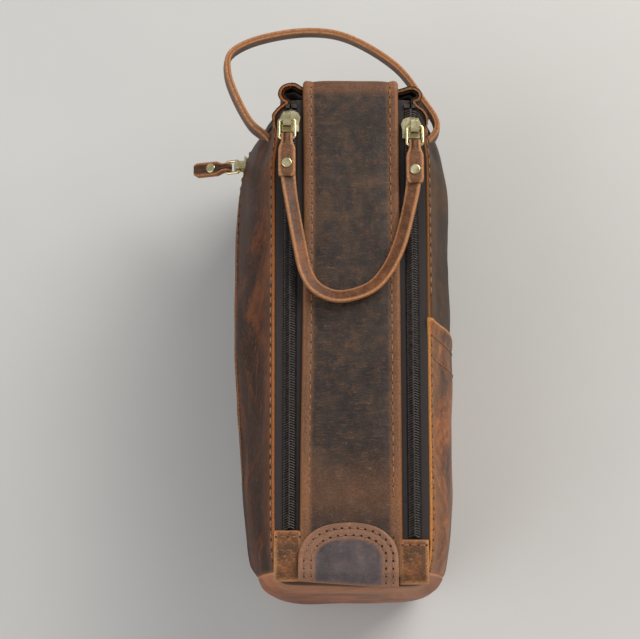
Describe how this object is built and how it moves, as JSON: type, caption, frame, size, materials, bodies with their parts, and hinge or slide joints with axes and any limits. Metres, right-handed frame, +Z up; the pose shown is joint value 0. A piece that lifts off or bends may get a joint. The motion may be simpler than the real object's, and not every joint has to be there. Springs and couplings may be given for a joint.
{
  "type": "toiletry bag",
  "caption": "Soft box-shaped leather toiletry bag with a zip-edged top flap, joined zip pulls, a zipped side pocket and a carry loop on one end.",
  "frame": {"origin": "centre of the base's underside, on the floor", "axes": "+Z up; +Y along the bag to the end with the carry loop, where the flap opens; -X to the front wall, which has the zip pocket"},
  "size_m": [0.1389, 0.2975, 0.1465],
  "materials": {
    "wall_leather": "waxed, scuffed, with lighter worn edges",
    "strip_leather": "dark waxed grain with lighter edges",
    "edge_leather": "light worn edge leather",
    "handle_leather": "waxed, lighter cut edges",
    "lining_cloth": "plain woven cotton",
    "board": "matt stiffener board",
    "zip_tape": "woven zip tape",
    "zip_coil": "moulded coil with a slight gloss",
    "hardware": "pale antique brass"
  },
  "bodies": {
    "bag": {"base_panel": "wall_leather", "near_end_panel": "wall_leather", "far_end_panel": "wall_leather", "back_near_panel": "wall_leather", "back_far_panel": "wall_leather", "front_pocket_panel": "wall_leather", "front_upper_panel": "wall_leather", "lining": "lining_cloth", "base_stiffener": "board", "front_wall_tape": "zip_tape", "back_wall_tape": "zip_tape", "front_wall_coil": "zip_coil", "back_wall_coil": "zip_coil", "wall_top_stops": "hardware", "front_rim_binding": "edge_leather", "back_rim_binding": "edge_leather", "front_zip_end_patch": "edge_leather", "back_zip_end_patch": "edge_leather", "lid_anchor": "strip_leather", "hinge_tab": "strip_leather", "pocket_lower_tape": "zip_tape", "pocket_upper_tape": "zip_tape", "pocket_coils": "zip_coil", "pocket_pouch": "lining_cloth", "handle_roots": "handle_leather"},
    "lid": {"lid_strip": "strip_leather", "lid_lining": "lining_cloth", "front_lid_tape": "zip_tape", "back_lid_tape": "zip_tape", "front_lid_coil": "zip_coil", "back_lid_coil": "zip_coil", "lid_top_stops": "hardware"},
    "front_slider": {"front_slider": "hardware"},
    "back_slider": {"back_slider": "hardware"},
    "pull_rings": {"front_pull_ring": "hardware", "back_pull_ring": "hardware"},
    "pull_strap": {"pull_strap": "handle_leather", "strap_end_folds": "handle_leather", "strap_rivets": "hardware"},
    "handle": {"handle_outer_layer": "handle_leather", "handle_inner_layer": "handle_leather"},
    "pocket_slider": {"pocket_slider": "hardware"},
    "pocket_ring": {"pocket_pull_ring": "hardware"},
    "pocket_tab": {"pocket_pull_tab": "handle_leather", "pocket_tab_rivet": "hardware"}
  },
  "joints": [
    {"name": "lid_hinge", "type": "hinge", "parent": "bag", "child": "lid", "pos_m": [0, -0.095, 0.1418], "axis": [1, 0, 0], "range_deg": [0, 110]},
    {"name": "front_zip_slide", "type": "slide", "parent": "bag", "child": "front_slider", "axis": [0, -1, 0], "range_m": [0, 0.1905]},
    {"name": "back_zip_slide", "type": "slide", "parent": "bag", "child": "back_slider", "axis": [0, -1, 0], "range_m": [0, 0.1905]},
    {"name": "ring_swing", "type": "hinge", "parent": "front_slider", "child": "pull_rings", "pos_m": [-0.0321, 0.106, 0.143], "axis": [0.9985, -0.0544, 0], "range_deg": [-95, 0]},
    {"name": "strap_swing", "type": "hinge", "parent": "pull_rings", "child": "pull_strap", "pos_m": [-0.0321, 0.0961, 0.143], "axis": [0.9985, -0.0544, 0], "range_deg": [-50, 0]},
    {"name": "handle_swing", "type": "hinge", "parent": "bag", "child": "handle", "pos_m": [0, 0.1095, 0.114], "axis": [1, 0, 0], "range_deg": [-8, 35], "stiffness_Nm_per_rad": 0.06},
    {"name": "pocket_zip_slide", "type": "slide", "parent": "bag", "child": "pocket_slider", "axis": [0, -1, 0], "range_m": [0, 0.165]},
    {"name": "pocket_ring_swing", "type": "hinge", "parent": "pocket_slider", "child": "pocket_ring", "pos_m": [-0.0594, 0.103, 0.07], "axis": [0, 1, 0], "range_deg": [-8, 60]},
    {"name": "pocket_tab_swing", "type": "hinge", "parent": "pocket_ring", "child": "pocket_tab", "pos_m": [-0.06598, 0.103, 0.06761], "axis": [0, 1, 0], "range_deg": [-50, 50]}
  ],
  "couplings": [
    {"joint": "front_zip_slide", "follows": "lid_hinge", "m_per_rad": 0.098965},
    {"joint": "back_zip_slide", "follows": "lid_hinge", "m_per_rad": 0.098965}
  ]
}
